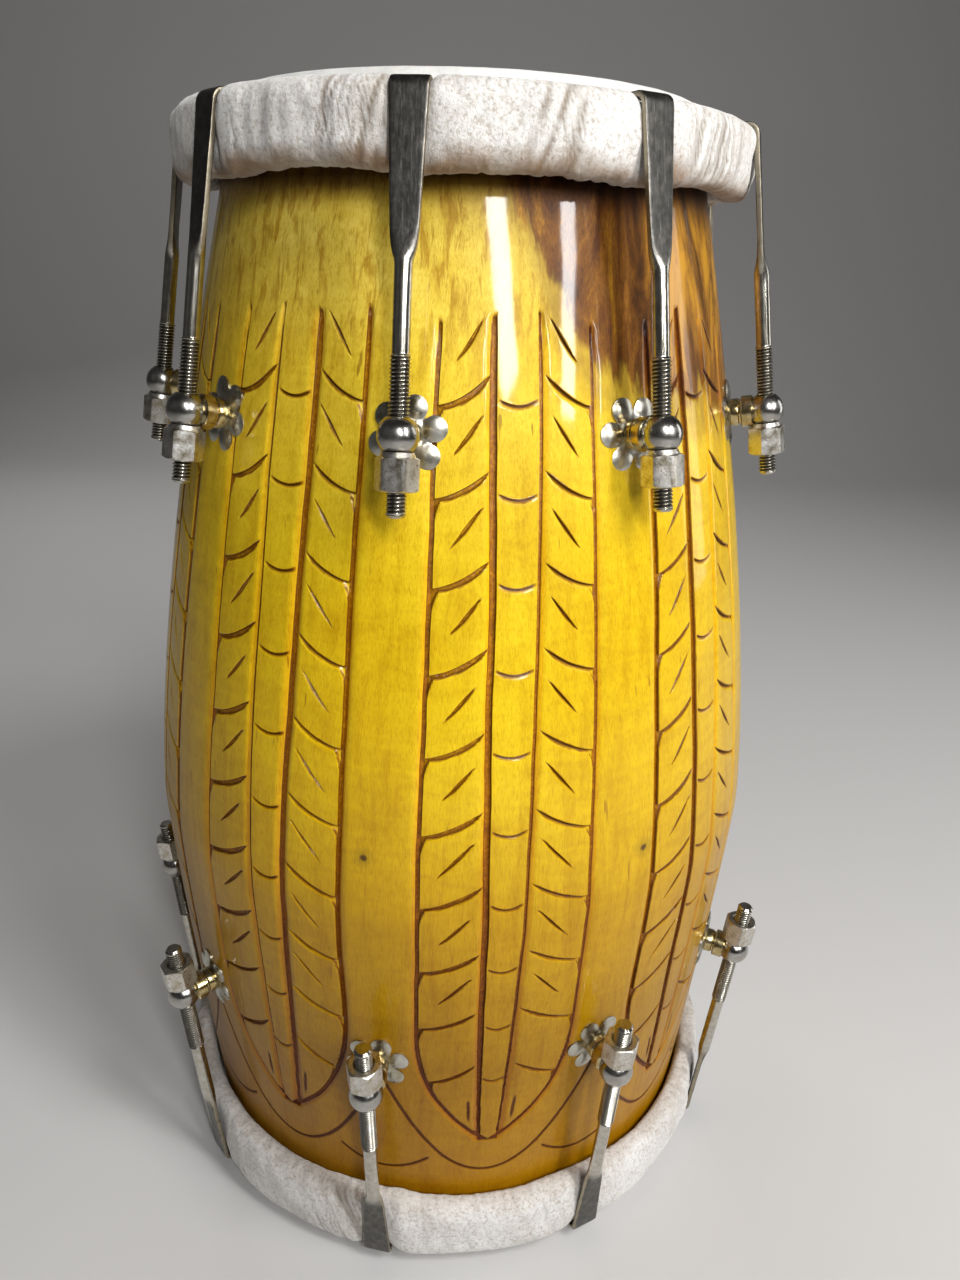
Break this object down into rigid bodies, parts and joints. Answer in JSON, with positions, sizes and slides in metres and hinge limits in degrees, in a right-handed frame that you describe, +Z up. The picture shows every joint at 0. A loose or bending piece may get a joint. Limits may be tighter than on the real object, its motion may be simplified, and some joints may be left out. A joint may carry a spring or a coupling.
{
  "type": "dholak drum",
  "caption": "Upright two-headed barrel drum (dholak) with a carved wooden shell, padded rings, and flat tuning hooks drawn by nuts through lugs at both ends.",
  "frame": {"origin": "centre of the bass head's outer face, on which the drum stands", "axes": "+Z up along the drum's axis from the bass head to the treble head; -Y is the front, -8.7 degrees from a treble lug"},
  "size_m": [0.3115, 0.314, 0.477],
  "materials": {
    "wood": "thick clear gloss lacquer over carved wood, roughness about 0.15",
    "suede": "matt off-white suede wrap, pleated, roughness about 0.9",
    "skin": "stretched off-white hide, roughness about 0.6",
    "paste": "dull black tuning paste, roughness about 0.8",
    "plated_steel": "nickel plate with yellow zinc in the steps, roughness about 0.25",
    "nut_steel": "zinc plated steel, slightly yellow, roughness about 0.35",
    "hook_steel": "forged dark blade with worn bright edges and a plated shank, roughness about 0.4"
  },
  "bodies": {
    "drum": {"shell": "wood", "treble_head": "skin", "treble_ring": "suede", "bass_head": "skin", "bass_ring": "suede", "bass_paste": "paste", "treble_lug_1": "plated_steel", "treble_lug_2": "plated_steel", "treble_lug_3": "plated_steel", "treble_lug_4": "plated_steel", "treble_lug_5": "plated_steel", "treble_lug_6": "plated_steel", "treble_lug_7": "plated_steel", "treble_lug_8": "plated_steel", "treble_lug_9": "plated_steel", "bass_lug_1": "plated_steel", "bass_lug_2": "plated_steel", "bass_lug_3": "plated_steel", "bass_lug_4": "plated_steel", "bass_lug_5": "plated_steel", "bass_lug_6": "plated_steel", "bass_lug_7": "plated_steel", "bass_lug_8": "plated_steel", "bass_lug_9": "plated_steel"},
    "treble_nut_1": {"treble_nut_1": "nut_steel"},
    "treble_hook_1": {"treble_hook_1": "hook_steel"},
    "treble_nut_2": {"treble_nut_2": "nut_steel"},
    "treble_hook_2": {"treble_hook_2": "hook_steel"},
    "treble_nut_3": {"treble_nut_3": "nut_steel"},
    "treble_hook_3": {"treble_hook_3": "hook_steel"},
    "treble_nut_4": {"treble_nut_4": "nut_steel"},
    "treble_hook_4": {"treble_hook_4": "hook_steel"},
    "treble_nut_5": {"treble_nut_5": "nut_steel"},
    "treble_hook_5": {"treble_hook_5": "hook_steel"},
    "treble_nut_6": {"treble_nut_6": "nut_steel"},
    "treble_hook_6": {"treble_hook_6": "hook_steel"},
    "treble_nut_7": {"treble_nut_7": "nut_steel"},
    "treble_hook_7": {"treble_hook_7": "hook_steel"},
    "treble_nut_8": {"treble_nut_8": "nut_steel"},
    "treble_hook_8": {"treble_hook_8": "hook_steel"},
    "treble_nut_9": {"treble_nut_9": "nut_steel"},
    "treble_hook_9": {"treble_hook_9": "hook_steel"},
    "bass_nut_1": {"bass_nut_1": "nut_steel"},
    "bass_hook_1": {"bass_hook_1": "hook_steel"},
    "bass_nut_2": {"bass_nut_2": "nut_steel"},
    "bass_hook_2": {"bass_hook_2": "hook_steel"},
    "bass_nut_3": {"bass_nut_3": "nut_steel"},
    "bass_hook_3": {"bass_hook_3": "hook_steel"},
    "bass_nut_4": {"bass_nut_4": "nut_steel"},
    "bass_hook_4": {"bass_hook_4": "hook_steel"},
    "bass_nut_5": {"bass_nut_5": "nut_steel"},
    "bass_hook_5": {"bass_hook_5": "hook_steel"},
    "bass_nut_6": {"bass_nut_6": "nut_steel"},
    "bass_hook_6": {"bass_hook_6": "hook_steel"},
    "bass_nut_7": {"bass_nut_7": "nut_steel"},
    "bass_hook_7": {"bass_hook_7": "hook_steel"},
    "bass_nut_8": {"bass_nut_8": "nut_steel"},
    "bass_hook_8": {"bass_hook_8": "hook_steel"},
    "bass_nut_9": {"bass_nut_9": "nut_steel"},
    "bass_hook_9": {"bass_hook_9": "hook_steel"}
  },
  "joints": [
    {"name": "treble_nut_turn_1", "type": "hinge", "parent": "drum", "child": "treble_nut_1", "pos_m": [-0.01975, -0.12904, 0.36802], "axis": [-0.0244, -0.1597, -0.9869], "range_deg": [0, 2520]},
    {"name": "treble_hook_slide_1", "type": "slide", "parent": "drum", "child": "treble_hook_1", "axis": [0.0244, 0.1597, 0.9869], "range_m": [0, 0.0088]},
    {"name": "treble_nut_turn_2", "type": "hinge", "parent": "drum", "child": "treble_nut_2", "pos_m": [0.06782, -0.11155, 0.36802], "axis": [0.084, -0.1381, -0.9869], "range_deg": [0, 2520]},
    {"name": "treble_hook_slide_2", "type": "slide", "parent": "drum", "child": "treble_hook_2", "axis": [-0.084, 0.1381, 0.9869], "range_m": [0, 0.0088]},
    {"name": "treble_nut_turn_3", "type": "hinge", "parent": "drum", "child": "treble_nut_3", "pos_m": [0.12366, -0.04186, 0.36802], "axis": [0.1531, -0.0518, -0.9869], "range_deg": [0, 2520]},
    {"name": "treble_hook_slide_3", "type": "slide", "parent": "drum", "child": "treble_hook_3", "axis": [-0.1531, 0.0518, 0.9869], "range_m": [0, 0.0088]},
    {"name": "treble_nut_turn_4", "type": "hinge", "parent": "drum", "child": "treble_nut_4", "pos_m": [0.12163, 0.04742, 0.36802], "axis": [0.1506, 0.0587, -0.9869], "range_deg": [0, 2520]},
    {"name": "treble_hook_slide_4", "type": "slide", "parent": "drum", "child": "treble_hook_4", "axis": [-0.1506, -0.0587, 0.9869], "range_m": [0, 0.0088]},
    {"name": "treble_nut_turn_5", "type": "hinge", "parent": "drum", "child": "treble_nut_5", "pos_m": [0.06269, 0.11451, 0.36802], "axis": [0.0776, 0.1418, -0.9869], "range_deg": [0, 2520]},
    {"name": "treble_hook_slide_5", "type": "slide", "parent": "drum", "child": "treble_hook_5", "axis": [-0.0776, -0.1418, 0.9869], "range_m": [0, 0.0088]},
    {"name": "treble_nut_turn_6", "type": "hinge", "parent": "drum", "child": "treble_nut_6", "pos_m": [-0.02558, 0.12802, 0.36802], "axis": [-0.0317, 0.1585, -0.9869], "range_deg": [0, 2520]},
    {"name": "treble_hook_slide_6", "type": "slide", "parent": "drum", "child": "treble_hook_6", "axis": [0.0317, -0.1585, 0.9869], "range_m": [0, 0.0088]},
    {"name": "treble_nut_turn_7", "type": "hinge", "parent": "drum", "child": "treble_nut_7", "pos_m": [-0.10188, 0.08162, 0.36802], "axis": [-0.1261, 0.101, -0.9869], "range_deg": [0, 2520]},
    {"name": "treble_hook_slide_7", "type": "slide", "parent": "drum", "child": "treble_hook_7", "axis": [0.1261, -0.101, 0.9869], "range_m": [0, 0.0088]},
    {"name": "treble_nut_turn_8", "type": "hinge", "parent": "drum", "child": "treble_nut_8", "pos_m": [-0.13051, -0.00296, 0.36802], "axis": [-0.1616, -0.0037, -0.9869], "range_deg": [0, 2520]},
    {"name": "treble_hook_slide_8", "type": "slide", "parent": "drum", "child": "treble_hook_8", "axis": [0.1616, 0.0037, 0.9869], "range_m": [0, 0.0088]},
    {"name": "treble_nut_turn_9", "type": "hinge", "parent": "drum", "child": "treble_nut_9", "pos_m": [-0.09808, -0.08616, 0.36802], "axis": [-0.1214, -0.1067, -0.9869], "range_deg": [0, 2520]},
    {"name": "treble_hook_slide_9", "type": "slide", "parent": "drum", "child": "treble_hook_9", "axis": [0.1214, 0.1067, 0.9869], "range_m": [0, 0.0088]},
    {"name": "bass_nut_turn_1", "type": "hinge", "parent": "drum", "child": "bass_nut_1", "pos_m": [-0.03205, -0.14701, 0.11103], "axis": [-0.0223, -0.1021, 0.9945], "range_deg": [0, 2520]},
    {"name": "bass_hook_slide_1", "type": "slide", "parent": "drum", "child": "bass_hook_1", "axis": [0.0223, 0.1021, -0.9945], "range_m": [0, 0.0088]},
    {"name": "bass_nut_turn_2", "type": "hinge", "parent": "drum", "child": "bass_nut_2", "pos_m": [0.06994, -0.13322, 0.11103], "axis": [0.0486, -0.0925, 0.9945], "range_deg": [0, 2520]},
    {"name": "bass_hook_slide_2", "type": "slide", "parent": "drum", "child": "bass_hook_2", "axis": [-0.0486, 0.0925, -0.9945], "range_m": [0, 0.0088]},
    {"name": "bass_nut_turn_3", "type": "hinge", "parent": "drum", "child": "bass_nut_3", "pos_m": [0.13921, -0.05709, 0.11103], "axis": [0.0967, -0.0397, 0.9945], "range_deg": [0, 2520]},
    {"name": "bass_hook_slide_3", "type": "slide", "parent": "drum", "child": "bass_hook_3", "axis": [-0.0967, 0.0397, -0.9945], "range_m": [0, 0.0088]},
    {"name": "bass_nut_turn_4", "type": "hinge", "parent": "drum", "child": "bass_nut_4", "pos_m": [0.14334, 0.04575, 0.11103], "axis": [0.0996, 0.0318, 0.9945], "range_deg": [0, 2520]},
    {"name": "bass_hook_slide_4", "type": "slide", "parent": "drum", "child": "bass_hook_4", "axis": [-0.0996, -0.0318, -0.9945], "range_m": [0, 0.0088]},
    {"name": "bass_nut_turn_5", "type": "hinge", "parent": "drum", "child": "bass_nut_5", "pos_m": [0.0804, 0.12718, 0.11103], "axis": [0.0559, 0.0884, 0.9945], "range_deg": [0, 2520]},
    {"name": "bass_hook_slide_5", "type": "slide", "parent": "drum", "child": "bass_hook_5", "axis": [-0.0559, -0.0884, -0.9945], "range_m": [0, 0.0088]},
    {"name": "bass_nut_turn_6", "type": "hinge", "parent": "drum", "child": "bass_nut_6", "pos_m": [-0.02016, 0.14911, 0.11103], "axis": [-0.014, 0.1036, 0.9945], "range_deg": [0, 2520]},
    {"name": "bass_hook_slide_6", "type": "slide", "parent": "drum", "child": "bass_hook_6", "axis": [0.014, -0.1036, -0.9945], "range_m": [0, 0.0088]},
    {"name": "bass_nut_turn_7", "type": "hinge", "parent": "drum", "child": "bass_nut_7", "pos_m": [-0.11129, 0.10126, 0.11103], "axis": [-0.0773, 0.0703, 0.9945], "range_deg": [0, 2520]},
    {"name": "bass_hook_slide_7", "type": "slide", "parent": "drum", "child": "bass_hook_7", "axis": [0.0773, -0.0703, -0.9945], "range_m": [0, 0.0088]},
    {"name": "bass_nut_turn_8", "type": "hinge", "parent": "drum", "child": "bass_nut_8", "pos_m": [-0.15034, 0.00604, 0.11103], "axis": [-0.1044, 0.0042, 0.9945], "range_deg": [0, 2520]},
    {"name": "bass_hook_slide_8", "type": "slide", "parent": "drum", "child": "bass_hook_8", "axis": [0.1044, -0.0042, -0.9945], "range_m": [0, 0.0088]},
    {"name": "bass_nut_turn_9", "type": "hinge", "parent": "drum", "child": "bass_nut_9", "pos_m": [-0.11905, -0.09201, 0.11103], "axis": [-0.0827, -0.0639, 0.9945], "range_deg": [0, 2520]},
    {"name": "bass_hook_slide_9", "type": "slide", "parent": "drum", "child": "bass_hook_9", "axis": [0.0827, 0.0639, -0.9945], "range_m": [0, 0.0088]}
  ],
  "couplings": [
    {"joint": "treble_hook_slide_1", "follows": "treble_nut_turn_1", "m_per_rad": 0.00019894},
    {"joint": "treble_hook_slide_2", "follows": "treble_nut_turn_2", "m_per_rad": 0.00019894},
    {"joint": "treble_hook_slide_3", "follows": "treble_nut_turn_3", "m_per_rad": 0.00019894},
    {"joint": "treble_hook_slide_4", "follows": "treble_nut_turn_4", "m_per_rad": 0.00019894},
    {"joint": "treble_hook_slide_5", "follows": "treble_nut_turn_5", "m_per_rad": 0.00019894},
    {"joint": "treble_hook_slide_6", "follows": "treble_nut_turn_6", "m_per_rad": 0.00019894},
    {"joint": "treble_hook_slide_7", "follows": "treble_nut_turn_7", "m_per_rad": 0.00019894},
    {"joint": "treble_hook_slide_8", "follows": "treble_nut_turn_8", "m_per_rad": 0.00019894},
    {"joint": "treble_hook_slide_9", "follows": "treble_nut_turn_9", "m_per_rad": 0.00019894},
    {"joint": "bass_hook_slide_1", "follows": "bass_nut_turn_1", "m_per_rad": 0.00019894},
    {"joint": "bass_hook_slide_2", "follows": "bass_nut_turn_2", "m_per_rad": 0.00019894},
    {"joint": "bass_hook_slide_3", "follows": "bass_nut_turn_3", "m_per_rad": 0.00019894},
    {"joint": "bass_hook_slide_4", "follows": "bass_nut_turn_4", "m_per_rad": 0.00019894},
    {"joint": "bass_hook_slide_5", "follows": "bass_nut_turn_5", "m_per_rad": 0.00019894},
    {"joint": "bass_hook_slide_6", "follows": "bass_nut_turn_6", "m_per_rad": 0.00019894},
    {"joint": "bass_hook_slide_7", "follows": "bass_nut_turn_7", "m_per_rad": 0.00019894},
    {"joint": "bass_hook_slide_8", "follows": "bass_nut_turn_8", "m_per_rad": 0.00019894},
    {"joint": "bass_hook_slide_9", "follows": "bass_nut_turn_9", "m_per_rad": 0.00019894}
  ]
}
